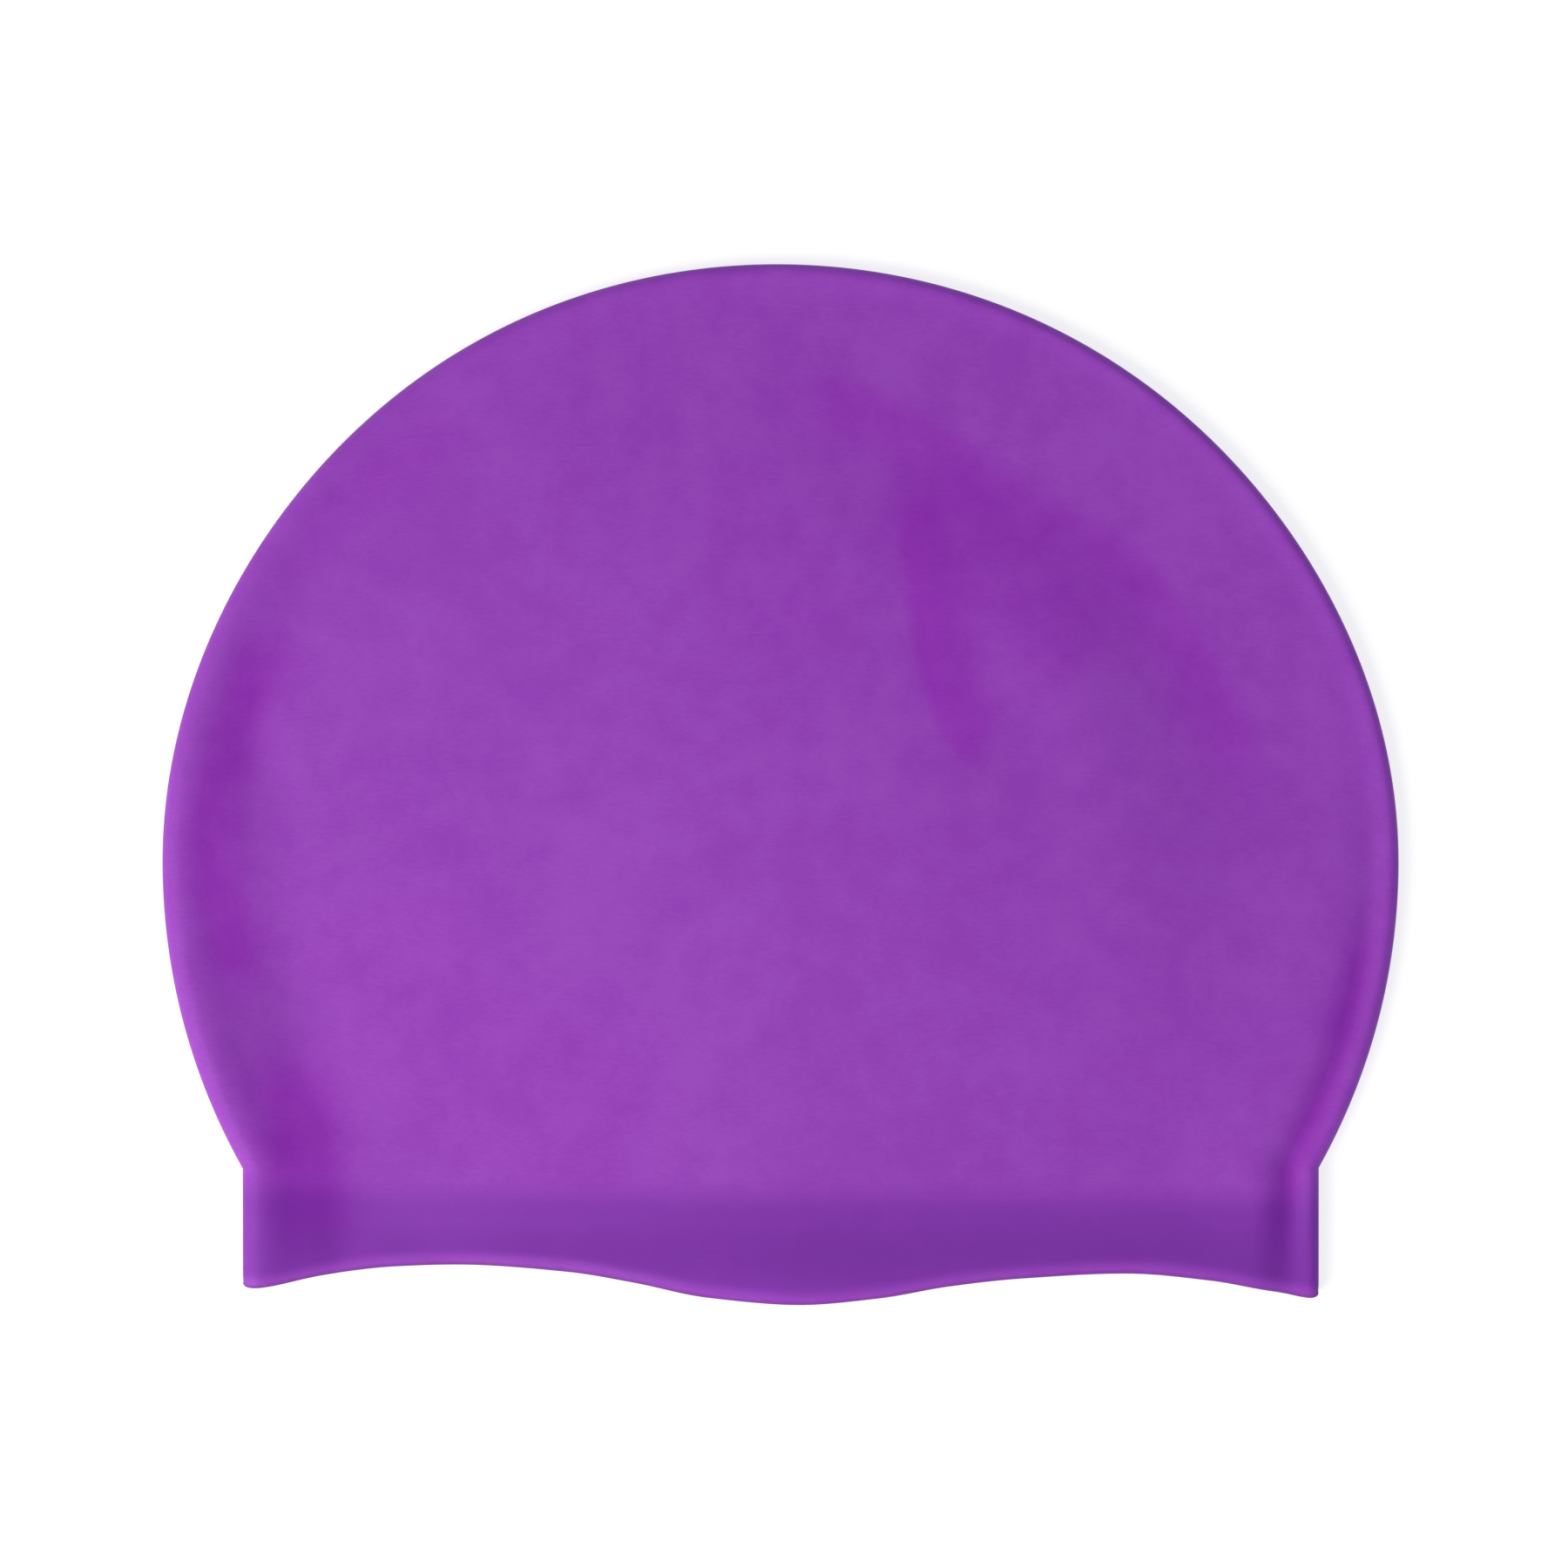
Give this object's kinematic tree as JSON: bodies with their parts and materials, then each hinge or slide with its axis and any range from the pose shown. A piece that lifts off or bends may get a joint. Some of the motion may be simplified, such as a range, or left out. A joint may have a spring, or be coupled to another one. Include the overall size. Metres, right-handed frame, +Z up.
{
  "type": "swim cap",
  "caption": "Plain moulded silicone swim cap lying flat, a shallow open pocket with a domed crown, a straight band, rolled folds at the sides and a wavy beaded lip.",
  "frame": {"origin": "on the table that the cap lies on, under the middle of its outline", "axes": "+X across the cap from its left fold to its right fold, +Y from the mouth towards the crown, +Z up off the table"},
  "size_m": [0.227, 0.1906, 0.0107],
  "materials": {
    "silicone": "satin purple silicone rubber"
  },
  "bodies": {
    "root": {"cap_shell": "silicone"}
  },
  "joints": []
}
